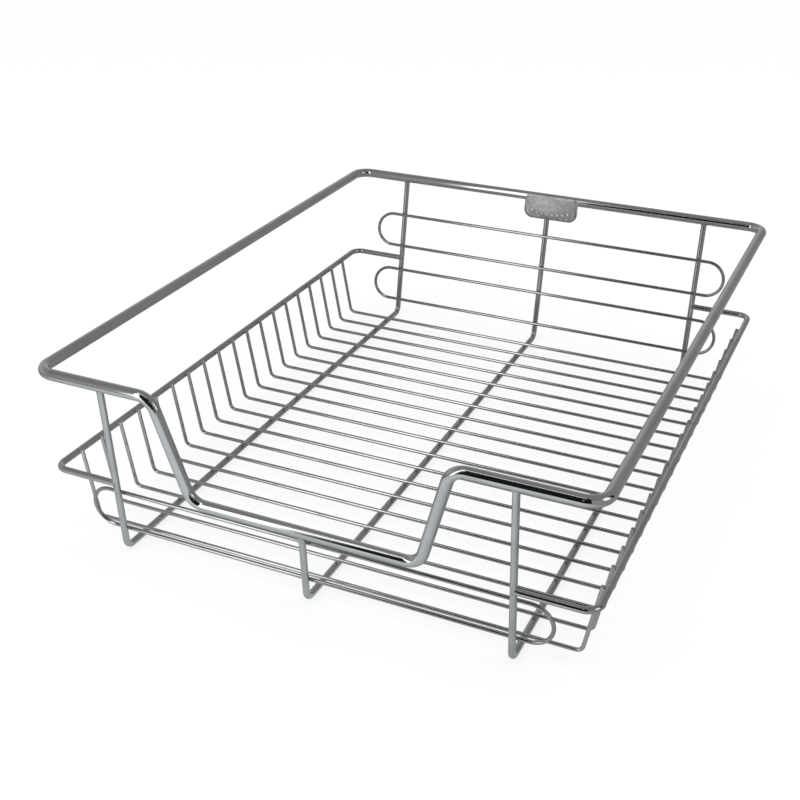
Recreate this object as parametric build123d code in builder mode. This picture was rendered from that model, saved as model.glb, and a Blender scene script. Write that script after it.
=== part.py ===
from build123d import *
import math
import os

# A chrome wire basket that pulls out of a kitchen base cabinet, in millimetres.
# The front, with its dipped rim, faces -Y, the back +Y, and +X is to the right.
# The basket stands on its three frame wires at Z = 0, centred in X and Y.

# Wire diameters
rim_wire = 8.0              # top rim
frame_wire = 4.8            # three long wires under the floor and up both ends
rail_wire = 4.8             # side rails
cross_wire = 2.8            # floor wires that run from side to side
loop_wire = 2.8             # long loops on the front and back walls

# Overall size, over the rim
rim_width = 400.0
rim_depth = 500.0
basket_height = 139.0
rim_bend = 13.0             # every bend of the rim, on its centreline

# Dip in the front of the rim
dip_top_width = 209.0
dip_bottom_width = 166.0
low_bar_height = 58.0       # centreline of the low bar above the ground

# Frame wires
frame_side_inset = 51.5     # outer frame wires, in from the rim's centreline
front_lean = 10.0           # how far the front wall leans out, rim to floor
back_lean = 22.0            # the same for the back wall
frame_bend = 6.5

# Side rails, straight below the rim's sides
rail_height = 57.0
rail_bend = 9.0

# Cross wires
cross_count = 19
cross_front_inset = 21.0    # first cross wire, in from the floor's front bend
cross_back_inset = 28.0     # last cross wire, in from the floor's back bend
floor_side_inset = 13.0     # the legs' bottom bends, in from the rails
cross_bend = 5.0
leg_tip = 1.0               # how far a leg runs on past its weld

# Long loops
loop_height = 30.5          # between the centrelines of its two runs
loop_overhang = 25.0        # past the outer frame wires
upper_loop_level = 84.7     # middle of each loop above the ground
lower_loop_level = 31.1
front_loop_level = 32.1

# Badge plate on the back of the rim, left bare
badge_width = 51.0
badge_height = 21.8
badge_thickness = 1.6
badge_rise = 2.6            # its top edge above the rim's centreline
badge_offset = 4.0          # to the right of the middle frame wire
badge_top_corner = 4.5
badge_bottom_corner = 8.0
badge_edge = 0.4

# Welded wires lie this far apart, the film of weld between them
weld_gap = 0.05

# Centrelines that the pieces share
rim_x = (rim_width - rim_wire) / 2
rim_y = (rim_depth - rim_wire) / 2
rim_z = basket_height - rim_wire / 2
frame_z = frame_wire / 2
frame_x = rim_x - frame_side_inset
floor_front = -rim_y + front_lean
floor_back = rim_y - back_lean
wall_height = rim_z - frame_z


def front_y(z):
    """Y of the leaning front wall's frame wires at height z."""
    return floor_front - front_lean * (z - frame_z) / wall_height


def back_y(z):
    """Y of the leaning back wall's frame wires at height z."""
    return floor_back + back_lean * (z - frame_z) / wall_height


def bent_wire(points, bend, diameter, closed=False):
    """A round wire along straight runs that are joined by bends of one radius."""
    with BuildPart() as wire:
        with BuildLine() as centreline:
            FilletPolyline(*points, radius=bend, close=closed)
        run = centreline.wire()
        with BuildSketch(Plane(origin=run @ 0, z_dir=run % 0)):
            Circle(diameter / 2)
        sweep()
    return wire


def finish(piece, name):
    """Label a finished piece and write it."""
    piece.part.label = name
    export_step(piece.part, f"parts/{name}.step")


os.makedirs("parts", exist_ok=True)

# Top rim: one closed wire, flat but for the dip, which leans in with the front wall
low_bar_y = front_y(low_bar_height)
rim_points = [
    (-rim_x, rim_y, rim_z),
    (-rim_x, -rim_y, rim_z),
    (-dip_top_width / 2, -rim_y, rim_z),
    (-dip_bottom_width / 2, low_bar_y, low_bar_height),
    (dip_bottom_width / 2, low_bar_y, low_bar_height),
    (dip_top_width / 2, -rim_y, rim_z),
    (rim_x, -rim_y, rim_z),
    (rim_x, rim_y, rim_z),
]
top_rim = bent_wire(rim_points, rim_bend, rim_wire, closed=True)
finish(top_rim, "top_rim")

# Frame wires: up the front wall, along the floor and up the back wall.
# Each end is cut off where it meets the underside of the rim.
rim_seat = rim_wire / 2 + weld_gap
front_slope = math.atan2(front_lean, wall_height)
back_slope = math.atan2(back_lean, wall_height)


def frame_wire_at(x, front_bar_z):
    """A frame wire at x whose front end seats on the bar at height front_bar_z."""
    front_end = front_bar_z - rim_seat * math.cos(front_slope)
    back_end = rim_z - rim_seat * math.cos(back_slope)
    points = [
        (x, front_y(front_end), front_end),
        (x, floor_front, frame_z),
        (x, floor_back, frame_z),
        (x, back_y(back_end), back_end),
    ]
    return bent_wire(points, frame_bend, frame_wire)


for name, x, bar_z in (
    ("frame_wire_left", -frame_x, rim_z),
    ("frame_wire_middle", 0.0, low_bar_height),
    ("frame_wire_right", frame_x, rim_z),
):
    finish(frame_wire_at(x, bar_z), name)

# Side rails: each end butts against the outer side of an upright
rail_seat = frame_x + frame_wire / 2 + weld_gap
rail_x = rim_x
for name, side in (("side_rail_left", -1), ("side_rail_right", 1)):
    rail_points = [
        (side * rail_seat, front_y(rail_height), rail_height),
        (side * rail_x, front_y(rail_height), rail_height),
        (side * rail_x, back_y(rail_height), rail_height),
        (side * rail_seat, back_y(rail_height), rail_height),
    ]
    finish(bent_wire(rail_points, rail_bend, rail_wire), name)

# Cross wires lie on the frame wires. Their legs lean out to the rails and lap
# their inner side, where the leg's centreline is tangent to a circle round the rail.
cross_z = frame_wire + weld_gap + cross_wire / 2
floor_x = rail_x - floor_side_inset
leg_lap = rail_wire / 2 + weld_gap + cross_wire / 2
corner_to_rail = math.hypot(rail_x - floor_x, rail_height - cross_z)
leg_lean = math.atan2(rail_x - floor_x, rail_height - cross_z) - math.asin(leg_lap / corner_to_rail)
leg_length = math.sqrt(corner_to_rail**2 - leg_lap**2) + leg_tip
leg_top_x = floor_x + leg_length * math.sin(leg_lean)
leg_top_z = cross_z + leg_length * math.cos(leg_lean)
cross_front = floor_front + cross_front_inset
cross_pitch = (floor_back - cross_back_inset - cross_front) / (cross_count - 1)
for number in range(cross_count):
    y = cross_front + number * cross_pitch
    cross_points = [
        (-leg_top_x, y, leg_top_z),
        (-floor_x, y, cross_z),
        (floor_x, y, cross_z),
        (leg_top_x, y, leg_top_z),
    ]
    finish(bent_wire(cross_points, cross_bend, cross_wire), f"cross_wire_{number + 1:02d}")

# Long loops lie against the inner side of the uprights and lean with their wall
loop_reach = frame_x + loop_overhang
loop_straight = 2 * (loop_reach - loop_height / 2)
loop_seat = frame_wire / 2 + weld_gap + loop_wire / 2


def wall_plane(y, z, slope, facing):
    """A plane in a leaning wall: x runs right and its normal points into the basket."""
    normal = (0, facing * math.cos(slope), math.sin(slope))
    return Plane(origin=(0, y, z), x_dir=(1, 0, 0), z_dir=normal)


def long_loop(plane):
    """A closed loop of wire: two straight runs and two round ends."""
    half = loop_height / 2
    with BuildPart() as loop:
        with BuildLine(plane) as centreline:
            top = Line((-loop_straight / 2, half), (loop_straight / 2, half))
            right = ThreePointArc(top @ 1, (loop_reach, 0), (loop_straight / 2, -half))
            bottom = Line(right @ 1, (-loop_straight / 2, -half))
            ThreePointArc(bottom @ 1, (-loop_reach, 0), top @ 0)
        run = centreline.wire()
        with BuildSketch(Plane(origin=run @ 0, z_dir=run % 0)):
            Circle(loop_wire / 2)
        sweep()
    return loop


back_wall = {
    "back_loop_upper": upper_loop_level,
    "back_loop_lower": lower_loop_level,
}
for name, level in back_wall.items():
    seat = wall_plane(back_y(level), level, back_slope, -1).offset(loop_seat)
    finish(long_loop(seat), name)

front_seat = wall_plane(front_y(front_loop_level), front_loop_level, front_slope, 1)
finish(long_loop(front_seat.offset(loop_seat)), "front_loop")

# Badge plate: a small plate on the inner face of the back rim
badge_seat = wall_plane(rim_y, rim_z, back_slope, -1).offset(rim_seat)
badge_left = badge_offset - badge_width / 2
badge_right = badge_offset + badge_width / 2
badge_bottom = badge_rise - badge_height
with BuildPart() as badge_plate:
    with BuildSketch(badge_seat) as outline:
        with BuildLine():
            Polyline(
                (badge_left, badge_bottom),
                (badge_right, badge_bottom),
                (badge_right, badge_rise),
                (badge_left, badge_rise),
                close=True,
            )
        make_face()
    extrude(amount=badge_thickness)
    uprights = badge_plate.edges().filter_by(lambda e: abs((e % 0).dot(badge_seat.z_dir)) > 0.99)
    fillet(uprights.sort_by(Axis.Z)[:2], badge_bottom_corner)
    uprights = badge_plate.edges().filter_by(lambda e: abs((e % 0).dot(badge_seat.z_dir)) > 0.99)
    fillet(uprights.sort_by(Axis.Z)[-2:], badge_top_corner)
    front_face = badge_plate.faces().sort_by(Axis(badge_seat.origin, badge_seat.z_dir))[-1]
    fillet(front_face.edges(), badge_edge)
finish(badge_plate, "badge_plate")
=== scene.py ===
"""A chrome wire basket for a kitchen base cabinet, dressed for a studio picture.

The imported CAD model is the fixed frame. Its wires keep their shapes and get
their plated finishes here. The welds where wires meet, the rounded tips of
the cut wires and the pressed face of the badge plate are new surfaces.
"""

import logging
import math
from abc import ABC, abstractmethod
from dataclasses import dataclass
from enum import Enum
from typing import ClassVar

import bmesh
import bpy
import numpy as np
from mathutils import Matrix


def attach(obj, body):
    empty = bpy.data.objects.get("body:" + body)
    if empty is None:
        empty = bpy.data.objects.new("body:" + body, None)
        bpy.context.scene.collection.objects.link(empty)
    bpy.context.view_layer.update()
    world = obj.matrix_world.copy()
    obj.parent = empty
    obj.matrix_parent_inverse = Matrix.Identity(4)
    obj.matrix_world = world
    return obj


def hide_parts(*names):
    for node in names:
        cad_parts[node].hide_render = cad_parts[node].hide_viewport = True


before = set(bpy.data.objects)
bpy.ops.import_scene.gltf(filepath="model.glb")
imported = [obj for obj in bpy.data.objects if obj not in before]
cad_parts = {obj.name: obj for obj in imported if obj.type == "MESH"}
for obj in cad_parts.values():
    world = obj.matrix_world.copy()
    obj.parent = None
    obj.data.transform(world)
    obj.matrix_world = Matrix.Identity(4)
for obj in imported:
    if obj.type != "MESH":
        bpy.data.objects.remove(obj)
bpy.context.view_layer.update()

MM = 0.001
Array = np.ndarray
Colour = tuple[float, float, float]
Place = tuple[float, float, float]
Surface = tuple[Array, Array]
RIGHTWARD = np.array([1.0, 0.0, 0.0])
BACKWARD = np.array([0.0, 1.0, 0.0])
UPWARD = np.array([0.0, 0.0, 1.0])
WHITE: Colour = (1.0, 1.0, 1.0)
log = logging.getLogger("basket")


# Surfaces


def unit(vectors: Array) -> Array:
    """Vectors divided by their own lengths.

    Args:
        vectors: array whose last axis is x, y, z.

    Returns:
        The unit vectors.
    """
    vectors = np.asarray(vectors, float)
    return vectors / np.linalg.norm(vectors, axis=-1, keepdims=True)


def every(direction: Array, count: int) -> Array:
    """The same direction on every one of several rows."""
    return np.tile(direction, (count, 1))


def poles(rows: int) -> Array:
    """A column of 0, 1, ..., 1, 0, which shrinks the end rings of a grid to poles.

    Args:
        rows: rings in the grid.

    Returns:
        The share of each ring's radius.
    """
    shares = np.ones((rows, 1))
    shares[[0, -1]] = 0.0
    return shares


def round_ring(reach: Array, columns: int) -> tuple[Array, Array]:
    """Points at even angles on rings: reach * cos a and reach * sin a.

    Args:
        reach: radius of each ring, one to a row.
        columns: points in each ring.

    Returns:
        Local x and y.
    """
    angle = np.linspace(0.0, 2 * math.pi, columns, endpoint=False)[None, :]
    return reach * np.cos(angle), reach * np.sin(angle)


def ring_faces(copies: int, rows: int, columns: int) -> Array:
    """Quads of several equal grids whose columns close into rings.

    Point (row, column) of a grid joins its right and upper neighbours, and the
    last column joins the first.

    Args:
        copies: number of grids, one after another in the point list.
        rows: rings in each grid.
        columns: points in each ring.

    Returns:
        Corner numbers, four to a face.
    """
    copy, row, column = np.meshgrid(
        np.arange(copies), np.arange(rows - 1), np.arange(columns), indexing="ij"
    )
    start = (copy * rows + row) * columns
    right = (column + 1) % columns
    corners = [start + column, start + right, start + columns + right, start + columns + column]
    return np.stack([corner.ravel() for corner in corners], axis=1)


def join(parts: list[Surface]) -> Surface:
    """Several surfaces as one list of points and one of faces.

    Args:
        parts: points and faces of each surface.

    Returns:
        Points and faces, with the later faces' numbers moved on.
    """
    clouds = [points.reshape(-1, 3) for points, _ in parts]
    starts = np.cumsum([0] + [len(cloud) for cloud in clouds[:-1]])
    faces = [faces + start for (_, faces), start in zip(parts, starts)]
    return np.concatenate(clouds), np.concatenate(faces)


def put_in_scene(name: str, data: bpy.types.ID) -> bpy.types.Object:
    """A new object that shows a mesh, a lamp or the camera.

    Args:
        name: the object's name.
        data: what it shows.

    Returns:
        The object.
    """
    thing = bpy.data.objects.new(name, data)
    bpy.context.scene.collection.objects.link(thing)
    return thing


def make_piece(
    name: str, surface: Surface, finish: bpy.types.Material
) -> bpy.types.Object:
    """A smooth closed mesh that rides on the basket.

    The rings that shrink to a pole are merged into one point, and the faces
    are then turned outwards.

    Args:
        name: the piece's name.
        surface: corners in metres, and faces of four corner numbers.
        finish: its material.

    Returns:
        The new object.
    """
    points, faces = surface
    mesh = bpy.data.meshes.new(name)
    mesh.from_pydata(points.reshape(-1, 3).tolist(), [], faces.tolist())
    shell = bmesh.new()
    shell.from_mesh(mesh)
    bmesh.ops.remove_doubles(shell, verts=shell.verts, dist=1e-7)
    bmesh.ops.recalc_face_normals(shell, faces=shell.faces)
    shell.to_mesh(mesh)
    shell.free()
    mesh.shade_smooth()
    mesh.materials.append(finish)
    piece = put_in_scene(name, mesh)
    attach(piece, "root")
    log.info("%s: %d faces", name, len(mesh.polygons))
    return piece


def sagitta(radius: float, offset: Array) -> Array:
    """How far a round wire's surface drops at an offset from its crown.

    The drop is r - sqrt(r^2 - offset^2).

    Args:
        radius: the wire's radius.
        offset: distance from the crown, across the wire.

    Returns:
        The drop, in the same unit.
    """
    return radius - np.sqrt(np.maximum(radius**2 - offset**2, 0.0))


class Bead(ABC):
    """A small closed surface that is repeated at every weld of one kind."""

    @abstractmethod
    def local(self) -> Array:
        """One bead's grid of rings, with its own x, y, z on the last axis."""

    def beads(self, origins: Array, along: Array, normals: Array) -> Surface:
        """The bead carried to every weld.

        A point is origin + x * along + y * across + z * normal, and across is
        the cross product of normal and along.

        Args:
            origins: one place for each weld.
            along: direction of the bead's x at each weld.
            normals: direction of its z at each weld.

        Returns:
            Points, with the weld number on the first axis, and faces.
        """
        along, normals = unit(along), unit(normals)
        local = self.local()
        axes = np.stack([along, np.cross(normals, along), normals], axis=1)
        points = origins[:, None, None, :] + np.einsum("rck,wkj->wrcj", local, axes)
        return points, ring_faces(len(origins), *local.shape[:2])


@dataclass(frozen=True)
class SaddleWeld(Bead):
    """The metal squeezed out where two wires cross and are welded.

    Local x lies along the lower wire and z points to the upper one.

    Attributes:
        lower: radius of the wire that the other lies on.
        upper: radius of the wire on top.
        gap: film of weld between their crowns.
        spread: the bead's reach, as a share of the thinner wire's radius.
        waist: how far its side is drawn in, as a share of its reach.
        sink: how far it goes into both wires, as a share of the thinner's radius.
        columns: points round the bead.
    """

    lower: float
    upper: float
    gap: float = 0.05 * MM
    spread: float = 1.12
    waist: float = 0.16
    sink: float = 0.10
    columns: int = 14

    def local(self) -> Array:
        """One bead's grid.

        Its side runs between the two wires' own surfaces at a reach of
        spread * (1 - waist * (1 - t^2)), with t from -1 to 1, and is closed
        by a pole inside each wire.

        Returns:
            Rows of rings.
        """
        thinner = min(self.lower, self.upper)
        level = np.array([-1.0, -1.0, -0.45, 0.0, 0.45, 1.0, 1.0])[:, None]
        reach = self.spread * thinner * (1.0 - self.waist * (1.0 - level**2))
        x, y = round_ring(reach * poles(len(level)), self.columns)
        floor = -self.gap / 2 - sagitta(self.lower, y) - self.sink * thinner
        roof = self.gap / 2 + sagitta(self.upper, x) + self.sink * thinner
        return np.stack([x, y, floor + (roof - floor) * (level + 1.0) / 2.0], axis=-1)


@dataclass(frozen=True)
class CollarWeld(Bead):
    """The fillet round the end of a wire that butts against another.

    Local x lies along the other wire, and z along the wire that ends here.

    Attributes:
        wall: radius of the wire that it butts against.
        wire: radius of the wire that ends here.
        flare: the fillet's foot, as a share of the wire's radius.
        rise: how far the fillet climbs the wire, as a share of its radius.
        sink: how far the foot goes into the other wire, as the same share.
        tuck: how far the top goes into this wire, as the same share.
        columns: points round the collar.
    """

    wall: float
    wire: float
    flare: float = 0.30
    rise: float = 0.55
    sink: float = 0.08
    tuck: float = 0.01
    columns: int = 20

    def local(self) -> Array:
        """One collar's grid.

        The side follows a quarter circle from the foot: its radius is
        r * (1 + flare * (1 - sin q)) at height r * rise * (1 - cos q). It is
        closed by a pole inside each wire.

        Returns:
            Rows of rings.
        """
        turn = np.radians([0.0, 0.0, 22.0, 45.0, 68.0, 90.0, 90.0])[:, None]
        reach = self.wire * (1.0 + self.flare * (1.0 - np.sin(turn)) - self.tuck * np.sin(turn))
        x, y = round_ring(reach * poles(len(turn)), self.columns)
        foot = -sagitta(self.wall, y) - self.sink * self.wire
        lift = 1.0 - np.cos(turn)
        return np.stack([x, y, foot * (1.0 - lift) + self.rise * self.wire * lift], axis=-1)


@dataclass(frozen=True)
class RoundTip(Bead):
    """The low dome on the cut end of a wire. Local z points out of the wire.

    Attributes:
        wire: the wire's radius.
        rise: height of the dome.
        foot: how far it reaches back into the wire, as a share of its height.
        fit: its radius, as a share of the wire's.
        columns: points round the dome.
    """

    wire: float
    rise: float = 0.45 * MM
    foot: float = 0.2
    fit: float = 0.995
    columns: int = 12

    def local(self) -> Array:
        """One dome's grid: its radius is r * cos q and its height rise * sin q.

        Returns:
            Rows of rings.
        """
        turn = np.radians([0.0, 0.0, 24.0, 48.0, 70.0, 90.0])[:, None]
        x, y = round_ring(self.fit * self.wire * np.cos(turn) * poles(len(turn)), self.columns)
        height = self.rise * (np.sin(turn) - self.foot * (turn == 0.0))
        return np.stack([x, y, height + 0.0 * x], axis=-1)


# Finishes


class NodeSheet:
    """A node tree being filled."""

    def __init__(self, tree: bpy.types.NodeTree) -> None:
        """Empties the tree.

        Args:
            tree: the tree of a material or of the world.
        """
        tree.nodes.clear()
        self.tree = tree

    def add(self, kind: str, inputs: dict | None = None, **settings: object) -> bpy.types.Node:
        """A new node.

        Args:
            kind: the node's type name.
            inputs: sockets by name or number, each with a value or a socket to join.
            settings: the node's own properties.

        Returns:
            The node.
        """
        node = self.tree.nodes.new(kind)
        for key, value in settings.items():
            setattr(node, key, value)
        for key, value in (inputs or {}).items():
            if isinstance(value, bpy.types.NodeSocket):
                self.tree.links.new(value, node.inputs[key])
            else:
                node.inputs[key].default_value = value
        return node

    def place(self) -> bpy.types.NodeSocket:
        """Where a point is on the object, in metres."""
        return self.add("ShaderNodeTexCoord").outputs["Object"]

    def parts(self, vector: bpy.types.NodeSocket) -> bpy.types.NodeOutputs:
        """A vector's own X, Y and Z."""
        return self.add("ShaderNodeSeparateXYZ", {"Vector": vector}).outputs

    def noise(
        self, vector: bpy.types.NodeSocket, scale: float, detail: float, rough: float = 0.5
    ) -> bpy.types.NodeSocket:
        """Cloudy noise.

        Args:
            vector: socket that it is read at.
            scale: repeats to the metre.
            detail: number of finer layers.
            rough: strength of the finer layers.

        Returns:
            The noise's socket, about 0.5.
        """
        inputs = {"Vector": vector, "Scale": scale, "Detail": detail, "Roughness": rough}
        return self.add("ShaderNodeTexNoise", inputs).outputs["Fac"]

    def math(self, operation: str, *values: object, clamp: bool = False) -> bpy.types.NodeSocket:
        """The result of a Math node.

        Args:
            operation: the sum it does.
            values: numbers or sockets.
            clamp: whether the result stays between 0 and 1.

        Returns:
            The result's socket.
        """
        inputs = dict(enumerate(values))
        return self.add("ShaderNodeMath", inputs, operation=operation, use_clamp=clamp).outputs[0]

    def span(
        self, value: object, low: float, high: float, first: float = 0.0, last: float = 1.0
    ) -> bpy.types.NodeSocket:
        """A value carried smoothly from one range to another.

        Args:
            value: socket that is read.
            low: where the change starts.
            high: where it ends.
            first: result at the start.
            last: result at the end.

        Returns:
            The result's socket.
        """
        ends = {"From Min": low, "From Max": high, "To Min": first, "To Max": last}
        node = self.add(
            "ShaderNodeMapRange", {"Value": value, **ends}, interpolation_type="SMOOTHSTEP"
        )
        return node.outputs["Result"]

    def blend(self, amount: object, first: object, second: object) -> bpy.types.NodeSocket:
        """Two colours mixed.

        Args:
            amount: share of the second.
            first: colour or socket.
            second: colour or socket.

        Returns:
            The mixed colour's socket.
        """
        node = self.add("ShaderNodeMix", data_type="RGBA")
        for number, value in ((0, amount), (6, first), (7, second)):
            if isinstance(value, bpy.types.NodeSocket):
                self.tree.links.new(value, node.inputs[number])
            else:
                node.inputs[number].default_value = value if number == 0 else (*value, 1.0)
        return node.outputs[2]

    def rays(self) -> tuple[bpy.types.NodeSocket, bpy.types.NodeSocket]:
        """Where a ray comes from.

        Returns:
            Whether it comes from the camera, and whether from a mirror or glass.
        """
        path = self.add("ShaderNodeLightPath").outputs
        mirrored = self.math("MAXIMUM", path["Is Glossy Ray"], path["Is Transmission Ray"])
        return path["Is Camera Ray"], mirrored

    def finish(self, shader: bpy.types.NodeSocket) -> None:
        """Puts a shader on the material's surface."""
        self.add("ShaderNodeOutputMaterial", {"Surface": shader})

    def metal(
        self,
        colour: bpy.types.NodeSocket,
        rough: bpy.types.NodeSocket,
        relief: bpy.types.NodeSocket,
        strength: float,
        height: float,
    ) -> None:
        """Puts bare metal on the material's surface.

        Args:
            colour: its colour.
            rough: its roughness.
            relief: pattern of its bumps.
            strength: of the bumps.
            height: of the bumps, in metres.
        """
        bumps = {"Height": relief, "Strength": strength, "Distance": height}
        normal = self.add("ShaderNodeBump", bumps).outputs["Normal"]
        look = {"Base Color": colour, "Roughness": rough, "Normal": normal, "Metallic": 1.0}
        self.finish(self.add("ShaderNodeBsdfPrincipled", look).outputs["BSDF"])


def new_material(name: str) -> tuple[bpy.types.Material, NodeSheet]:
    """An empty material and the sheet for its nodes.

    Args:
        name: the material's name.

    Returns:
        The material and its sheet.
    """
    material = bpy.data.materials.new(name)
    material.use_nodes = True
    return material, NodeSheet(material.node_tree)


class Grain(Enum):
    """The way that a wire's drawing marks run, as the pattern's scale on x, y and z."""

    ACROSS_BASKET = (0.05, 1.0, 1.0)
    ALONG_BASKET = (1.0, 0.05, 1.0)
    NO_WAY = (1.0, 1.0, 1.0)


# Patterns in the chrome, in repeats to the metre, and what they add
PATCH_SCALE = 38.0
MARK_SCALE = 1500.0
MARK_ROUGHNESS = 0.05
MARK_RELIEF = 0.25
PIT_SCALE = 620.0
PIT_TONE: Colour = (0.32, 0.32, 0.31)
PIT_SHARE = 0.35
PIT_ROUGHNESS = 0.12
PIT_RELIEF = -0.30
RUBBED_TONE: Colour = (0.36, 0.355, 0.34)
RUBBED_SHARE = 0.5
RUBBED_ROUGHNESS = 0.22
RIPPLE_STRENGTH = 0.6


@dataclass(frozen=True)
class ChromeFinish:
    """Bright chrome plate over drawn steel wire.

    Attributes:
        name: the material's name.
        bright: colour of the full plate.
        smoky: colour of its thinner patches.
        polish: roughness of the best polished patches.
        haze: roughness of the dullest.
        grain: the way that the drawing marks run.
        ripple: height of the plate's ripple.
        scuff: height above the ground up to which the plate is rubbed dull, or 0.
    """

    name: str
    bright: Colour
    smoky: Colour
    polish: float
    haze: float
    grain: Grain = Grain.NO_WAY
    ripple: float = 0.012 * MM
    scuff: float = 0.0

    def material(self) -> bpy.types.Material:
        """The plate's nodes.

        Broad patches set its colour and polish, drawing marks and fine pits
        its roughness and ripple, and the underside is rubbed dull.

        Returns:
            The material.
        """
        material, sheet = new_material(self.name)
        place = sheet.place()
        drawn = sheet.add("ShaderNodeMapping", {"Vector": place, "Scale": self.grain.value})
        patches = sheet.noise(place, PATCH_SCALE, 4.0, 0.55)
        marks = sheet.noise(drawn.outputs["Vector"], MARK_SCALE, 2.0, 0.6)
        cells = sheet.add("ShaderNodeTexVoronoi", {"Vector": place, "Scale": PIT_SCALE})
        pit = sheet.span(cells.outputs["Distance"], 0.05, 0.16, 1.0, 0.0)
        colour = sheet.blend(sheet.span(patches, 0.38, 0.64), self.bright, self.smoky)
        colour = sheet.blend(sheet.math("MULTIPLY", pit, PIT_SHARE), colour, PIT_TONE)
        rough = sheet.span(patches, 0.32, 0.70, self.polish, self.haze)
        rough = sheet.math("MULTIPLY_ADD", marks, MARK_ROUGHNESS, rough)
        rough = sheet.math("MULTIPLY_ADD", pit, PIT_ROUGHNESS, rough)
        if self.scuff > 0.0:
            low = sheet.span(sheet.parts(place)["Z"], self.scuff * 0.4, self.scuff, 1.0, 0.0)
            rubbed = sheet.math("MULTIPLY", low, sheet.span(marks, 0.3, 0.7, 0.4, 1.0))
            rough = sheet.math("MULTIPLY_ADD", rubbed, RUBBED_ROUGHNESS, rough)
            share = sheet.math("MULTIPLY", rubbed, RUBBED_SHARE)
            colour = sheet.blend(share, colour, RUBBED_TONE)
        relief = sheet.math("MULTIPLY_ADD", marks, MARK_RELIEF, patches)
        relief = sheet.math("MULTIPLY_ADD", pit, PIT_RELIEF, relief)
        sheet.metal(colour, rough, relief, RIPPLE_STRENGTH, self.ripple)
        return material


@dataclass(frozen=True)
class PressedFinish:
    """The duller plate of the stamped badge, with painted highlights on its crests and upper edge
    and painted shade in its hollows and along its lower edge.

    Attributes:
        name: the material's name.
        crest_and_highlight: colour of the raised parts, near white as a painted highlight.
        hollow_and_shade: colour of the low parts, dark as painted shade.
        grit: repeats of the fine grit to the metre.
        tarnish: repeats of the tarnish to the metre.
        stain: how much the tarnish adds to the depth or takes from it.
        polish: roughness of the smoothest grit.
        haze: roughness of the coarsest.
        dulling: roughness added in the hollows and under the painted shade.
    """

    name: str = "pressed_plate_painted_light"
    # The near-white crest tone is a painted highlight, and the dark hollow tone is painted shade
    crest_and_highlight: Colour = (0.96, 0.955, 0.95)
    hollow_and_shade: Colour = (0.28, 0.275, 0.275)
    grit: float = 1400.0
    tarnish: float = 260.0
    stain: float = 0.09
    polish: float = 0.30
    haze: float = 0.38
    dulling: float = 0.12

    def material(self) -> bpy.types.Material:
        """Crests and hollows, with their painted highlights and painted shade, follow the surface's
        own tone attribute.

        Returns:
            The material.
        """
        material, sheet = new_material(self.name)
        place = sheet.place()
        tone_with_painted_light = sheet.add("ShaderNodeAttribute", attribute_name="tone_with_painted_light").outputs["Fac"]
        grit = sheet.noise(place, self.grit, 4.0, 0.65)
        tarnish = sheet.noise(place, self.tarnish, 2.0)
        stain = sheet.span(tarnish, 0.35, 0.65, -self.stain, self.stain)
        low = sheet.math("ADD", stain, tone_with_painted_light, clamp=True)
        rough = sheet.span(grit, 0.3, 0.7, self.polish, self.haze)
        rough = sheet.math("MULTIPLY_ADD", low, self.dulling, rough)
        # Colour runs from the painted highlight tone to the painted shade tone, by the tone
        # attribute with tarnish added
        sheet.metal(sheet.blend(low, self.crest_and_highlight, self.hollow_and_shade), rough, grit, 0.4, 0.01 * MM)
        return material


RIM_CHROME = ChromeFinish("rim_plate", (0.60, 0.61, 0.615), (0.54, 0.55, 0.55), 0.035, 0.09)
FRAME_CHROME = ChromeFinish(
    "frame_plate",
    (0.57, 0.585, 0.59),
    (0.50, 0.51, 0.51),
    0.05,
    0.13,
    Grain.ALONG_BASKET,
    scuff=0.7 * MM,
)
RAIL_CHROME = ChromeFinish(
    "rail_plate", (0.56, 0.57, 0.575), (0.48, 0.49, 0.49), 0.06, 0.16, Grain.ALONG_BASKET
)
WIRE_CHROME = ChromeFinish(
    "thin_wire_plate", (0.61, 0.615, 0.615), (0.55, 0.555, 0.55), 0.05, 0.11, Grain.ACROSS_BASKET
)
LOOP_CHROME = ChromeFinish(
    "loop_plate", (0.48, 0.485, 0.485), (0.40, 0.405, 0.40), 0.05, 0.10, Grain.ACROSS_BASKET
)
WELD_CHROME = ChromeFinish(
    "weld_plate", (0.62, 0.62, 0.61), (0.44, 0.44, 0.43), 0.08, 0.24, ripple=0.05 * MM
)


# Sub-assemblies


@dataclass(frozen=True)
class Layout:
    """Centrelines and wire diameters that the pieces share, as in the CAD model, in metres."""

    rim_wire: float = 8.0 * MM
    frame_wire: float = 4.8 * MM
    rail_wire: float = 4.8 * MM
    cross_wire: float = 2.8 * MM
    loop_wire: float = 2.8 * MM
    rim_x: float = 196.0 * MM
    rim_y: float = 246.0 * MM
    rim_z: float = 135.0 * MM
    low_bar_z: float = 58.0 * MM
    frame_x: float = 144.5 * MM
    frame_z: float = 2.4 * MM
    floor_front: float = -236.0 * MM
    floor_back: float = 224.0 * MM
    front_lean: float = 10.0 * MM
    back_lean: float = 22.0 * MM
    rail_z: float = 57.0 * MM
    weld_gap: float = 0.05 * MM

    def front_y(self, z: Array | float) -> Array | float:
        """Y of the front uprights at height z."""
        return self.floor_front - self.front_lean * (z - self.frame_z) / (self.rim_z - self.frame_z)

    def back_y(self, z: Array | float) -> Array | float:
        """Y of the back uprights at height z."""
        return self.floor_back + self.back_lean * (z - self.frame_z) / (self.rim_z - self.frame_z)

    def up(self, front: bool) -> Array:
        """Direction up the front or back wall."""
        lean = -self.front_lean if front else self.back_lean
        return unit(np.array([0.0, lean, self.rim_z - self.frame_z]))

    def inward(self, front: bool) -> Array:
        """Direction out of the front or back wall into the basket."""
        return np.cross(RIGHTWARD, self.up(front)) * (-1.0 if front else 1.0)

    def uprights(self) -> Array:
        """X of the three frame wires."""
        return np.array([-self.frame_x, 0.0, self.frame_x])


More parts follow.
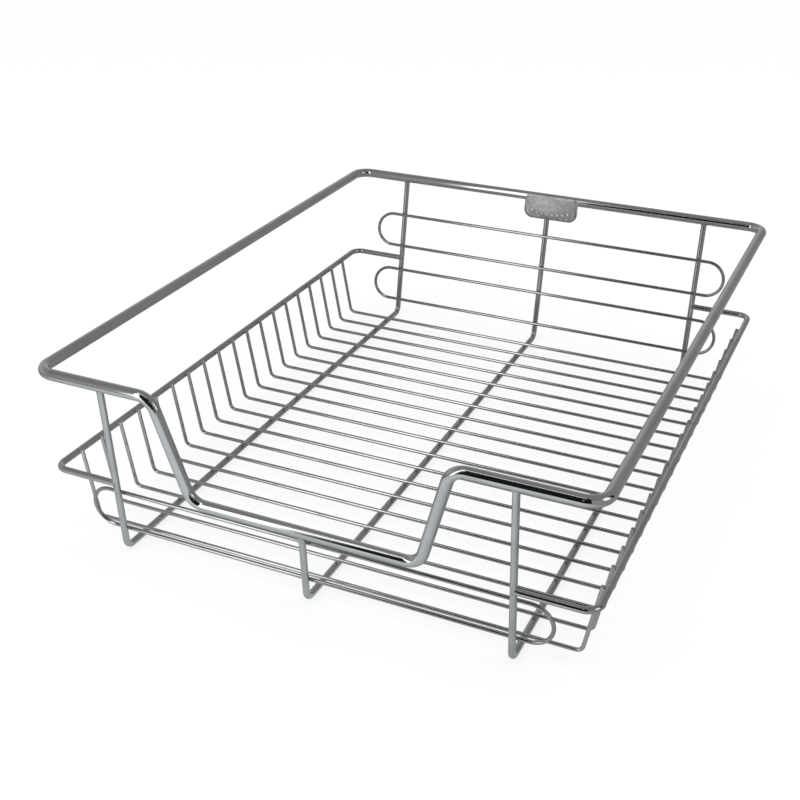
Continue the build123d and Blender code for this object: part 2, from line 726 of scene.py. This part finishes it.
@dataclass
class WireGroup(ABC):
    """Wires of one kind, with the welds that hold them.

    Attributes:
        layout: shared centrelines.
        weld_slot: the record's material slot for the welds.
    """

    layout: Layout
    weld_slot: ClassVar[str] = "wire_chrome"

    @abstractmethod
    def nodes(self) -> tuple[str, ...]:
        """Names of the wires' CAD nodes."""

    def welds(self) -> dict[str, Surface]:
        """Points and faces of the welds, by the name of their piece."""
        return {}

    def build(self, plate: bpy.types.Material, weld_plate: bpy.types.Material) -> None:
        """Dresses the wires and makes their welds.

        Args:
            plate: the wires' chrome.
            weld_plate: chrome over the welds.
        """
        for name in self.nodes():
            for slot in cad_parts[name].material_slots:
                slot.material = plate
            log.info("%s: dressed in %s", name, plate.name)
        for name, surface in self.welds().items():
            make_piece(name, surface, weld_plate)


@dataclass
class TopRim(WireGroup):
    """The thick closed wire round the top, dipped at the front."""

    def nodes(self) -> tuple[str, ...]:
        """Name of the rim's CAD node."""
        return ("top_rim",)


@dataclass
class FrameWires(WireGroup):
    """Three long wires: down the front wall, under the floor, up the back wall."""

    weld_slot: ClassVar[str] = "frame_chrome"

    def nodes(self) -> tuple[str, ...]:
        """Names of the CAD nodes, from the left."""
        return tuple(f"frame_wire_{side}" for side in ("left", "middle", "right"))

    def welds(self) -> dict[str, Surface]:
        """Collars where the uprights' ends butt under the rim and the low bar.

        Returns:
            Points and faces, by the piece's name.
        """
        size = self.layout
        x = size.uprights()
        bar_z = np.array([size.rim_z, size.low_bar_z, size.rim_z])
        front = np.stack([x, size.front_y(bar_z), bar_z], axis=1)
        back = np.stack([x, np.full(x.size, size.rim_y), np.full(x.size, size.rim_z)], axis=1)
        down = -np.repeat(np.stack([size.up(True), size.up(False)]), x.size, axis=0)
        origins = np.concatenate([front, back]) + down * size.rim_wire / 2
        weld = CollarWeld(size.rim_wire / 2, size.frame_wire / 2)
        return {"rim_welds": weld.beads(origins, every(RIGHTWARD, len(origins)), down)}


@dataclass
class SideRails(WireGroup):
    """The level wires on both sides, turned in to the uprights."""

    weld_slot: ClassVar[str] = "rail_chrome"

    def nodes(self) -> tuple[str, ...]:
        """Names of the CAD nodes, from the left."""
        return tuple(f"side_rail_{side}" for side in ("left", "right"))

    def welds(self) -> dict[str, Surface]:
        """Collars where the rails' ends butt against the outer uprights.

        Returns:
            Points and faces, by the piece's name.
        """
        size = self.layout
        side = np.array([-1.0, -1.0, 1.0, 1.0])
        front = np.array([True, False, True, False])
        y = np.where(front, size.front_y(size.rail_z), size.back_y(size.rail_z))
        x = side * (size.frame_x + size.frame_wire / 2)
        origins = np.stack([x, y, np.full(side.size, size.rail_z)], axis=1)
        up = np.where(front[:, None], size.up(True), size.up(False))
        weld = CollarWeld(size.frame_wire / 2, size.rail_wire / 2)
        return {"rail_welds": weld.beads(origins, up, side[:, None] * RIGHTWARD)}


@dataclass
class CrossWires(WireGroup):
    """The floor wires, each with a leg up to the rail at both ends.

    Attributes:
        count: number of wires.
        first: Y of the first wire, at the front.
        last: Y of the last wire.
        inset: how far the floor part ends inside the rails.
        tip: how far a leg runs on past its weld.
        leg_bead: reach of a leg's weld, as a share of the wire's radius.
    """

    count: int = 19
    first: float = -215.0 * MM
    last: float = 196.0 * MM
    inset: float = 13.0 * MM
    tip: float = 1.0 * MM
    leg_bead: float = 1.05

    def nodes(self) -> tuple[str, ...]:
        """Names of the CAD nodes, from the front."""
        return tuple(f"cross_wire_{number + 1:02d}" for number in range(self.count))

    def rows(self) -> Array:
        """Y of every wire, from the front."""
        return np.linspace(self.first, self.last, self.count)

    def floor_welds(self) -> Surface:
        """Beads where the cross wires lie on the frame wires.

        Returns:
            Points and faces.
        """
        size = self.layout
        x, y = np.meshgrid(size.uprights(), self.rows(), indexing="ij")
        level = size.frame_wire + size.weld_gap / 2
        origins = np.stack([x.ravel(), y.ravel(), np.full(x.size, level)], axis=1)
        weld = SaddleWeld(size.frame_wire / 2, size.cross_wire / 2)
        return weld.beads(origins, every(BACKWARD, x.size), every(UPWARD, x.size))

    def leg_welds(self) -> Surface:
        """Beads where the legs lap the rails' inner sides, and the legs' tips.

        A leg is tangent to a circle round the rail, so its lean is the slope
        of the line from its foot to the rail less the circle's half angle.

        Returns:
            Points and faces of the beads and of the tips.
        """
        size = self.layout
        foot = size.frame_wire + size.weld_gap + size.cross_wire / 2
        lap = size.rail_wire / 2 + size.weld_gap + size.cross_wire / 2
        reach = math.hypot(self.inset, size.rail_z - foot)
        lean = math.atan2(self.inset, size.rail_z - foot) - math.asin(lap / reach)
        side, y = np.meshgrid([-1.0, 1.0], self.rows(), indexing="ij")
        side, y = side.ravel(), y.ravel()
        none = np.zeros_like(y)
        rail = np.stack([side * size.rim_x, y, none + size.rail_z], axis=1)
        inward = np.stack([-side * math.cos(lean), none, none + math.sin(lean)], axis=1)
        leg = np.stack([side * math.sin(lean), none, none + math.cos(lean)], axis=1)
        middle = rail + inward * (size.rail_wire + size.weld_gap) / 2
        weld = SaddleWeld(size.rail_wire / 2, size.cross_wire / 2, spread=self.leg_bead)
        beads = weld.beads(middle, every(BACKWARD, y.size), inward)
        ends = rail + inward * lap + leg * self.tip
        tips = RoundTip(size.cross_wire / 2).beads(ends, np.cross(leg, BACKWARD), leg)
        return join([beads, tips])

    def welds(self) -> dict[str, Surface]:
        """The welds on the floor and at the rails, by the name of their piece."""
        return {"floor_welds": self.floor_welds(), "leg_welds": self.leg_welds()}


@dataclass
class WallLoops(WireGroup):
    """The long loops of thin wire, two on the back wall and one on the front.

    Attributes:
        height: between the centrelines of a loop's two runs.
        back_levels: middle of each back loop above the ground.
        front_level: middle of the front loop.
        bead: reach of a weld, as a share of the loop wire's radius.
    """

    height: float = 30.5 * MM
    back_levels: tuple[float, float] = (84.7 * MM, 31.1 * MM)
    front_level: float = 32.1 * MM
    bead: float = 1.2

    def nodes(self) -> tuple[str, ...]:
        """Names of the CAD nodes."""
        return ("back_loop_upper", "back_loop_lower", "front_loop")

    def welds_on(self, level: float, front: bool) -> Surface:
        """Beads where a loop's two runs cross the three uprights.

        Args:
            level: middle of the loop above the ground.
            front: whether it is on the front wall.

        Returns:
            Points and faces.
        """
        size = self.layout
        up, inward = size.up(front), size.inward(front)
        wall_y = size.front_y(level) if front else size.back_y(level)
        runs = [-self.height / 2, self.height / 2]
        x, run = np.meshgrid(size.uprights(), runs, indexing="ij")
        middle = np.array([0.0, wall_y, level]) + inward * (size.frame_wire + size.weld_gap) / 2
        origins = middle + run.ravel()[:, None] * up
        origins[:, 0] += x.ravel()
        weld = SaddleWeld(size.frame_wire / 2, size.loop_wire / 2, spread=self.bead)
        return weld.beads(origins, every(up, x.size), every(inward, x.size))

    def welds(self) -> dict[str, Surface]:
        """The welds of all three loops, by the name of their piece."""
        back = [self.welds_on(level, False) for level in self.back_levels]
        return {"loop_welds": join([*back, self.welds_on(self.front_level, True)])}


@dataclass(frozen=True)
class BadgeToneAndPaintedLight:
    """What each form of the stamped face adds to its tone, from 0 (bright crest colour) to 1 (dark
    hollow colour); most forms add painted highlights or painted shade.

    Attributes:
        face: the plain face.
        bulge: the middle of the bulge, lightened as a painted highlight.
        ring: the rings round the studs, darkened as painted shade.
        stud: the studs' crowns, lightened as painted highlights.
        foot: the shoulder's edge in the lower half, darkened as painted shade.
        head: the same in the upper half, lightened as a painted highlight.
    """

    face: float = 0.66
    bulge: float = -0.12
    ring: float = 0.15
    stud: float = -1.4
    foot: float = 0.2
    head: float = -0.5


@dataclass
class BadgePlate:
    """The small stamped plate on the back of the rim, plain but for a row of studs.

    Attributes:
        layout: shared centrelines.
        width: overall width.
        height: overall height.
        thickness: of the sheet, without its relief.
        rise: its top edge above the rim's centreline, up the wall.
        offset: to the right of the middle upright.
        top_corner: radius of the upper corners.
        bottom_corner: radius of the lower corners.
        edge_round: radius of the rounded edge.
        shoulder: width of the rounded shoulder along the edge.
        drop: how far the shoulder falls.
        crown: how far the middle of the face bulges.
        studs: round studs along the lower edge.
        stud_size: radius of a stud.
        stud_height: height of a stud.
        stud_reach: from the middle of the row to its last stud.
        stud_level: middle of the row, from the plate's middle.
        stud_bow: how far the row's ends rise above its middle.
        ring_middle: radius of the ring round a stud, as a share of the stud's.
        ring_width: half its width, as the same share.
        tone_with_painted_light: what each form adds to the tone, with painted highlights and
            painted shade among it.
        node: the CAD node that it stands for.
    """

    layout: Layout
    width: float = 51.0 * MM
    height: float = 21.8 * MM
    thickness: float = 1.6 * MM
    rise: float = 2.6 * MM
    offset: float = 4.0 * MM
    top_corner: float = 4.5 * MM
    bottom_corner: float = 8.0 * MM
    edge_round: float = 0.4 * MM
    shoulder: float = 2.2 * MM
    drop: float = 0.6 * MM
    crown: float = 0.9 * MM
    studs: int = 8
    stud_size: float = 2.1 * MM
    stud_height: float = 0.6 * MM
    stud_reach: float = 17.5 * MM
    stud_level: float = -6.2 * MM
    stud_bow: float = 2.0 * MM
    ring_middle: float = 1.1
    ring_width: float = 0.45
    tone_with_painted_light: BadgeToneAndPaintedLight = BadgeToneAndPaintedLight()
    node: str = "badge_plate"

    def outline(self, columns: int) -> Array:
        """The plate's edge as even steps along a box with round corners.

        Args:
            columns: number of points.

        Returns:
            Local x and y of each point, from the plate's middle.
        """
        half_x, half_y = self.width / 2, self.height / 2
        corners = [
            (half_x, half_y, self.top_corner, 0.0),
            (-half_x, half_y, self.top_corner, 90.0),
            (-half_x, -half_y, self.bottom_corner, 180.0),
            (half_x, -half_y, self.bottom_corner, 270.0),
        ]
        arcs = []
        for x, y, radius, start in corners:
            turn = np.radians(start + np.linspace(0.0, 90.0, 13))
            middle = np.array([x - math.copysign(radius, x), y - math.copysign(radius, y)])
            arcs.append(middle + radius * np.stack([np.cos(turn), np.sin(turn)], axis=1))
        points = np.concatenate(arcs + [arcs[0][:1]])
        steps = np.linalg.norm(np.diff(points, axis=0), axis=1)
        run = np.concatenate([[0.0], np.cumsum(steps)])
        even = np.linspace(0.0, run[-1], columns, endpoint=False)
        return np.stack([np.interp(even, run, points[:, axis]) for axis in (0, 1)], axis=1)

    def edge_distance(self, x: Array, y: Array) -> Array:
        """Distance of points on the plate from its edge.

        With q = |p| - half size + corner radius, it is the radius less the
        length of q's positive part, less q's larger component where both are
        negative.

        Args:
            x: local x.
            y: local y.

        Returns:
            The distances.
        """
        radius = np.where(y > 0.0, self.top_corner, self.bottom_corner)
        over_x = np.abs(x) - self.width / 2 + radius
        over_y = np.abs(y) - self.height / 2 + radius
        outside = np.hypot(np.maximum(over_x, 0.0), np.maximum(over_y, 0.0))
        return radius - outside - np.minimum(np.maximum(over_x, over_y), 0.0)

    def field(self, x: Array, y: Array) -> tuple[Array, Array]:
        """Height of the stamped face, and its tone with painted highlights and painted shade.

        The face bulges as a product of cosines, and its shoulder falls by
        drop * (1 - edge / shoulder)^2 towards the edge. A row of round studs,
        each (1 - (d / size)^2)^2 high, follows a shallow parabola near the
        lower edge.

        Args:
            x: local x of each point.
            y: local y of each point.

        Returns:
            Height above the sheet, and tone from 0 (bright) to 1 (dark), with painted highlights
            and painted shade.
        """
        steep = np.clip(1.0 - self.edge_distance(x, y) / self.shoulder, 0.0, 1.0)
        bulge = np.cos(math.pi * x / self.width) * np.cos(math.pi * y / self.height)
        row = np.linspace(-1.0, 1.0, self.studs)
        stud_x = self.stud_reach * row
        stud_y = self.stud_level + self.stud_bow * row**2
        away = np.hypot(x[..., None] - stud_x, y[..., None] - stud_y).min(axis=-1)
        away = away / self.stud_size
        stud = np.clip(1.0 - away**2, 0.0, 1.0) ** 2
        ring = np.clip(1.0 - np.abs(away - self.ring_middle) / self.ring_width, 0.0, 1.0)
        height = self.crown * bulge - self.drop * steep**2 + self.stud_height * stud
        # Tone: the bulge, studs and upper shoulder are lightened as painted highlights; the rings
        # round the studs and the lower shoulder are darkened as painted shade
        add = self.tone_with_painted_light
        tone_with_painted_light = add.face + add.bulge * bulge + add.ring * ring + add.stud * stud
        tone_with_painted_light = tone_with_painted_light + steep * np.where(y < 0.0, add.foot, add.head)
        return height, np.clip(tone_with_painted_light, 0.0, 1.0)

    def shell(self, columns: int = 300, rings: int = 56) -> tuple[Array, Array, Array]:
        """The whole plate on its own axes.

        Rings of the outline grow from the middle of the back, turn round the
        rounded edge and shrink again over the stamped face.

        Args:
            columns: points round the outline.
            rings: rings over the face.

        Returns:
            Local x, y and z.
        """
        back_rings, edge_rings = 5, 9
        edge = self.outline(columns)
        turn = np.radians(np.linspace(-90.0, 90.0, edge_rings))
        grow = np.linspace(0.0, 1.0, back_rings + 1)[:-1]
        share = np.concatenate([grow, np.ones(edge_rings), np.linspace(1.0, 0.0, rings)[1:]])
        inset = self.edge_round * np.concatenate(
            [np.ones(back_rings), 1.0 - np.cos(turn), np.ones(rings - 1)]
        )
        reach = 1.0 - inset[:, None] / np.linalg.norm(edge, axis=1)[None, :]
        x = share[:, None] * reach * edge[None, :, 0]
        y = share[:, None] * reach * edge[None, :, 1]
        front = np.concatenate([np.zeros(back_rings), (np.sin(turn) + 1.0) / 2, np.ones(rings - 1)])
        return x, y, front[:, None] * (self.thickness + self.field(x, y)[0])

    def build(self, plate: bpy.types.Material) -> None:
        """Makes the stamped plate.

        Args:
            plate: its finish.
        """
        size = self.layout
        up, inward = size.up(False), size.inward(False)
        rim = np.array([self.offset, size.rim_y, size.rim_z])
        seat = rim + inward * (size.rim_wire / 2 + size.weld_gap)
        middle = seat + up * (self.rise - self.height / 2)
        x, y, z = self.shell()
        points = middle + x[..., None] * RIGHTWARD + y[..., None] * up + z[..., None] * inward
        surface = (points, ring_faces(1, *x.shape))
        piece = make_piece("badge_face", surface, plate)
        found = np.empty(len(piece.data.vertices) * 3, np.float32)
        piece.data.vertices.foreach_get("co", found)
        local = found.reshape(-1, 3) - middle
        # The tone with painted highlights and painted shade is stored on every point for the
        # plate's finish
        tone_with_painted_light = self.field(local[:, 0], local @ up)[1]
        attribute = piece.data.attributes.new("tone_with_painted_light", "FLOAT", "POINT")
        attribute.data.foreach_set("value", tone_with_painted_light.astype(np.float32))
        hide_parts(self.node)


# Studio


def set_axes(thing: bpy.types.Object, right: Array, up: Array, back: Array) -> None:
    """Turns a lamp or camera so that its own x, y and z lie along three directions.

    Args:
        thing: the lamp or camera.
        right: direction of its x.
        up: direction of its y.
        back: direction of its z, away from what it looks at.
    """
    columns = np.stack([unit(right), unit(up), unit(back)], axis=1)
    thing.rotation_mode = "QUATERNION"
    thing.rotation_quaternion = Matrix(columns.tolist()).to_quaternion()


@dataclass(frozen=True)
class Board:
    """A flat board that stands in the studio and is seen only in the chrome.

    Attributes:
        name: the board's name.
        middle: where its middle is, in metres.
        right: from its middle to its right edge.
        up: from its middle to its upper edge.
        tones: what it shows at its foot, middle and head.
        soft: width of its faded sides and ends, as a share of its size.
        foot: where its foot's tone ends, as a share of its height.
        head: where its head's tone starts and is full, as the same share.
    """

    name: str
    middle: Place
    right: Place
    up: Place
    tones: tuple[Colour, Colour, Colour]
    soft: tuple[float, float]
    foot: float = 0.2
    head: tuple[float, float] = (0.5, 0.95)

    def material(self) -> bpy.types.Material:
        """A glow that runs from tone to tone up the board and fades at its edges.

        Returns:
            The material.
        """
        material, sheet = new_material(self.name)
        part = sheet.parts(sheet.add("ShaderNodeUVMap", uv_map="spread").outputs["UV"])
        tone = sheet.blend(sheet.span(part["Y"], 0.0, self.foot), self.tones[0], self.tones[1])
        tone = sheet.blend(sheet.span(part["Y"], *self.head), tone, self.tones[2])
        edges = (
            sheet.span(sheet.math("PINGPONG", part[axis], 0.5), 0.0, soft)
            for axis, soft in zip("XY", self.soft)
        )
        shown = sheet.math("MULTIPLY", *edges)
        clear = sheet.add("ShaderNodeBsdfTransparent").outputs[0]
        glow = sheet.add("ShaderNodeEmission", {"Color": tone, "Strength": 1.0}).outputs[0]
        mix = sheet.add("ShaderNodeMixShader", {0: shown, 1: clear, 2: glow})
        sheet.finish(mix.outputs["Shader"])
        return material

    def build(self) -> None:
        """One quad with its own foot-to-head map."""
        middle, right, up = (np.array(side) for side in (self.middle, self.right, self.up))
        corners = [middle + x * right + y * up for x, y in ((-1, -1), (1, -1), (1, 1), (-1, 1))]
        mesh = bpy.data.meshes.new(self.name)
        mesh.from_pydata([corner.tolist() for corner in corners], [], [(0, 1, 2, 3)])
        spread = mesh.uv_layers.new(name="spread")
        spread.data.foreach_set("uv", [0.0, 0.0, 1.0, 0.0, 1.0, 1.0, 0.0, 1.0])
        mesh.materials.append(self.material())
        board = put_in_scene(self.name, mesh)
        board.visible_camera = board.visible_diffuse = board.visible_shadow = False


@dataclass(frozen=True)
class Lamp:
    """A soft lamp aimed at the basket, which the chrome doesn't show.

    Attributes:
        name: the lamp's name.
        spot: where it stands.
        width: of its face.
        height: of its face.
        power: in watts.
    """

    name: str
    spot: Place
    width: float
    height: float
    power: float

    def build(self) -> None:
        """Makes the lamp and turns its face to the basket."""
        light = bpy.data.lights.new(self.name, "AREA")
        light.shape = "RECTANGLE"
        light.size, light.size_y, light.energy = self.width, self.height, self.power
        lamp = put_in_scene(self.name, light)
        lamp.visible_glossy = False
        lamp.location = self.spot
        aim = -unit(np.array(self.spot))
        right = unit(np.cross(aim, UPWARD))
        set_axes(lamp, right, np.cross(right, aim), -aim)


@dataclass(frozen=True)
class Viewpoint:
    """The camera, at the place and with the lens found from the basket's own lines.

    Attributes:
        picture: width and height of the picture, in pixels.
        focal_length: of the lens, in pixels.
        axis: where the lens's axis meets the picture, in pixels.
        place: where the camera stands.
        right: direction of the picture's right.
        down: direction of its foot.
        ahead: direction of view.
        film: width of the film, in mm.
        reach: nearest and furthest distance that is drawn.
    """

    picture: float = 800.0
    focal_length: float = 1228.584
    axis: tuple[float, float] = (388.918, 396.921)
    place: Place = (0.32958, -0.81423, 0.50088)
    right: Place = (0.90623, 0.42278, 0.00073)
    down: Place = (0.19637, -0.41940, -0.88631)
    ahead: Place = (-0.37441, 0.80335, -0.46309)
    film: float = 36.0
    reach: tuple[float, float] = (0.05, 50.0)

    def build(self) -> None:
        """Makes the camera and gives it to the scene."""
        data = bpy.data.cameras.new("camera")
        data.sensor_fit, data.sensor_width = "HORIZONTAL", self.film
        data.lens = self.focal_length * self.film / self.picture
        data.shift_x = (self.picture / 2 - self.axis[0]) / self.picture
        data.shift_y = (self.axis[1] - self.picture / 2) / self.picture
        data.clip_start, data.clip_end = self.reach
        camera = put_in_scene("camera", data)
        camera.location = self.place
        set_axes(camera, np.array(self.right), -np.array(self.down), -np.array(self.ahead))
        bpy.context.scene.camera = camera


@dataclass
class Studio:
    """A pale floor, a plain soft light and the camera.

    Attributes:
        boards: boards that the chrome shows.
        lamps: soft lamps.
        ceiling: what the chrome shows overhead.
        left_wall: what it shows near the horizon at the back on the left.
        right_wall: the same on the right.
        front_wall: the same in front.
        painted_light_pool: what the floor shows in mirrors in front of the basket, a painted pool
            of light.
        far_floor_and_painted_shade: what it shows in mirrors under and behind the basket, painted
            shade under it.
        ambient: even light on the floor.
        floor_rings: radii of the floor's rings.
        floor_level: just under the basket.
        pool_middle: middle of the painted pool of light.
        pool_reach: its half sizes.
        pool_fade: where it starts to fade and ends, as shares of those.
        paper: the floor's darkest and lightest grain.
        paper_grain: repeats of the grain to the metre.
        own_glow: share of the floor that glows by itself, in mirrors and to the camera; in mirrors
            the glow carries the painted pool of light and painted shade.
    """

    boards: tuple[Board, ...]
    lamps: tuple[Lamp, ...]
    ceiling: Colour = (0.275, 0.262, 0.25)
    left_wall: Colour = (0.48, 0.48, 0.47)
    right_wall: Colour = (0.27, 0.275, 0.27)
    front_wall: Colour = (0.38, 0.38, 0.375)
    painted_light_pool: Colour = (0.76, 0.80, 0.82)
    far_floor_and_painted_shade: Colour = (0.27, 0.275, 0.27)
    ambient: Colour = (0.95, 0.95, 0.95)
    floor_rings: tuple[float, ...] = (0.0, 0.6, 2.0, 12.0)
    floor_level: float = -0.4 * MM
    pool_middle: Place = (-0.06, -0.50, 0.0)
    pool_reach: Place = (0.50, 0.38, 1.0)
    pool_fade: tuple[float, float] = (0.3, 1.15)
    paper: tuple[Colour, Colour] = ((0.94, 0.945, 0.945), (0.96, 0.96, 0.955))
    paper_grain: float = 240.0
    own_glow: tuple[float, float] = (0.95, 0.78)

    def world(self) -> None:
        """White to the camera, walls and ceiling to the chrome, an even light to the floor."""
        world = bpy.data.worlds.new("studio")
        world.use_nodes = True
        bpy.context.scene.world = world
        sheet = NodeSheet(world.node_tree)
        part = sheet.parts(sheet.add("ShaderNodeTexCoord").outputs["Generated"])
        wall = sheet.blend(sheet.span(part["X"], -0.4, 0.3), self.left_wall, self.right_wall)
        wall = sheet.blend(sheet.span(part["Y"], -0.1, -0.5), wall, self.front_wall)
        seen = sheet.blend(sheet.span(part["Z"], 0.25, 0.80), wall, self.ceiling)
        camera, mirrored = sheet.rays()
        colour = sheet.blend(camera, sheet.blend(mirrored, self.ambient, seen), WHITE)
        background = sheet.add("ShaderNodeBackground", {"Color": colour, "Strength": 1.0})
        sheet.add("ShaderNodeOutputWorld", {"Surface": background.outputs["Background"]})

    def floor_material(self) -> bpy.types.Material:
        """Pale paper that keeps the shadow. In mirrors it glows with a painted pool of light in
        front of the basket and painted shade under and behind it.

        Returns:
            The material.
        """
        material, sheet = new_material("pale_floor")
        place = sheet.place()
        patch = {"Vector": place, "Location": self.pool_middle, "Scale": self.pool_reach}
        pool = sheet.add("ShaderNodeMapping", patch, vector_type="TEXTURE").outputs["Vector"]
        away = sheet.add("ShaderNodeVectorMath", {0: pool}, operation="LENGTH").outputs["Value"]
        grain = sheet.span(sheet.noise(place, self.paper_grain, 3.0), 0.3, 0.7)
        matt = sheet.add("ShaderNodeBsdfDiffuse", {"Color": sheet.blend(grain, *self.paper)})
        camera, mirrored = sheet.rays()
        # In mirrors: a painted pool of light in front, fading to painted shade under and behind the
        # basket
        shown = sheet.blend(sheet.span(away, *self.pool_fade), self.painted_light_pool, self.far_floor_and_painted_shade)
        shown = sheet.blend(camera, shown, WHITE)
        glow = sheet.add("ShaderNodeEmission", {"Color": shown, "Strength": 1.0})
        in_mirrors, to_camera = self.own_glow
        share = sheet.math(
            "MAXIMUM",
            sheet.math("MULTIPLY", mirrored, in_mirrors),
            sheet.math("MULTIPLY", camera, to_camera),
        )
        both = {0: share, 1: matt.outputs["BSDF"], 2: glow.outputs["Emission"]}
        sheet.finish(sheet.add("ShaderNodeMixShader", both).outputs["Shader"])
        return material

    def floor(self, columns: int = 64) -> None:
        """A wide round floor.

        Args:
            columns: points in each of its rings.
        """
        x, y = round_ring(np.array(self.floor_rings)[:, None], columns)
        points = np.stack([x, y, 0.0 * x + self.floor_level], axis=-1)
        mesh = bpy.data.meshes.new("floor")
        faces = ring_faces(1, len(self.floor_rings), columns)
        mesh.from_pydata(points.reshape(-1, 3).tolist(), [], faces.tolist())
        mesh.materials.append(self.floor_material())
        put_in_scene("floor", mesh)

    def build(self) -> None:
        """Makes the whole studio."""
        self.world()
        self.floor()
        for thing in (*self.boards, *self.lamps, Viewpoint()):
            thing.build()
        bpy.context.scene.view_settings.view_transform = "Standard"
        log.info("studio: %d boards, %d lamps", len(self.boards), len(self.lamps))


BLACK: Colour = (0.010, 0.010, 0.010)
DUSK: Colour = (0.09, 0.086, 0.082)
BRIGHT: Colour = (2.2, 2.2, 2.16)
PALE: Colour = (1.5, 1.5, 1.47)
GLARE: Colour = (2.2, 2.2, 2.2)
BOARDS = (
    Board(
        "dark_board",
        middle=(0.12, -0.80, 0.93),
        right=(0.39, 0.0, 0.0),
        up=(0.0, 0.0, 0.93),
        tones=(BLACK, BLACK, DUSK),
        soft=(0.05, 0.02),
    ),
    Board(
        "bright_board",
        middle=(-0.40, -0.75, 0.70),
        right=(0.115, 0.0, 0.0),
        up=(-0.06, 0.0, 0.74),
        tones=(BRIGHT, BRIGHT, BRIGHT),
        soft=(0.14, 0.04),
    ),
    Board(
        "head_board",
        middle=(-0.10, -0.49, 0.90),
        right=(0.36, -0.17, 0.0),
        up=(-0.012, -0.026, 0.0),
        tones=(GLARE, GLARE, GLARE),
        soft=(0.15, 0.2),
    ),
    Board(
        "lamp_card",
        middle=(0.18, -0.78, 0.45),
        right=(0.022, 0.0, 0.0),
        up=(0.0, 0.0, 0.022),
        tones=(GLARE, GLARE, GLARE),
        soft=(0.2, 0.2),
    ),
    Board(
        "side_board",
        middle=(1.25, -0.25, 0.75),
        right=(0.0, 0.28, 0.0),
        up=(0.0, 0.0, 0.50),
        tones=(PALE, PALE, PALE),
        soft=(0.12, 0.12),
    ),
    Board(
        "side_shade",
        middle=(1.20, 0.28, 0.60),
        right=(0.0, 0.16, 0.0),
        up=(0.0, 0.0, 0.55),
        tones=(DUSK, BLACK, DUSK),
        soft=(0.15, 0.15),
    ),
)
LAMPS = (
    Lamp("key_lamp", spot=(-1.1, -1.2, 1.9), width=1.2, height=0.9, power=10.0),
    Lamp("fill_lamp", spot=(1.5, 0.4, 1.8), width=1.0, height=1.0, power=6.0),
)


def main() -> None:
    """Builds the basket's pieces in order, then the studio."""
    logging.basicConfig(level=logging.INFO, format="%(name)s: %(message)s")
    layout = Layout()
    weld_plate = WELD_CHROME.material()
    groups = (
        (TopRim, RIM_CHROME),
        (FrameWires, FRAME_CHROME),
        (SideRails, RAIL_CHROME),
        (CrossWires, WIRE_CHROME),
        (WallLoops, LOOP_CHROME),
    )
    for group, chrome in groups:
        group(layout).build(chrome.material(), weld_plate)
    BadgePlate(layout).build(PressedFinish().material())
    Studio(BOARDS, LAMPS).build()


if __name__ == "__main__":
    main()
